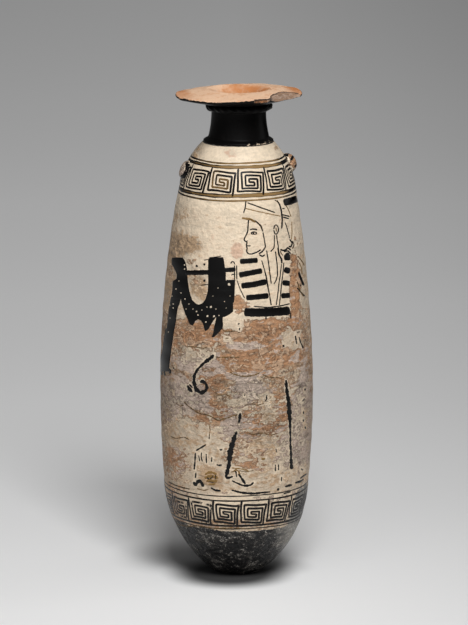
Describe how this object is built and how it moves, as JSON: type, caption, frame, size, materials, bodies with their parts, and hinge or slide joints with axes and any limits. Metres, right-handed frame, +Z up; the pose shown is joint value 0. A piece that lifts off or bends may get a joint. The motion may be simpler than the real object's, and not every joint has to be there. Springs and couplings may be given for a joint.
{
  "type": "alabastron",
  "caption": "Slender round-bottomed perfume vessel of fired clay with a narrow neck, a wide flat mouth plate with a broken edge, and two small shoulder lugs.",
  "frame": {"origin": "middle of the small resting flat under the base", "axes": "+Z up along the vessel's axis, +X towards the right-hand lug, -Y towards the painted front"},
  "size_m": [0.0516, 0.0516, 0.1665],
  "materials": {
    "painted_clay": "satin"
  },
  "bodies": {
    "root": {"vessel": "painted_clay"}
  },
  "joints": []
}
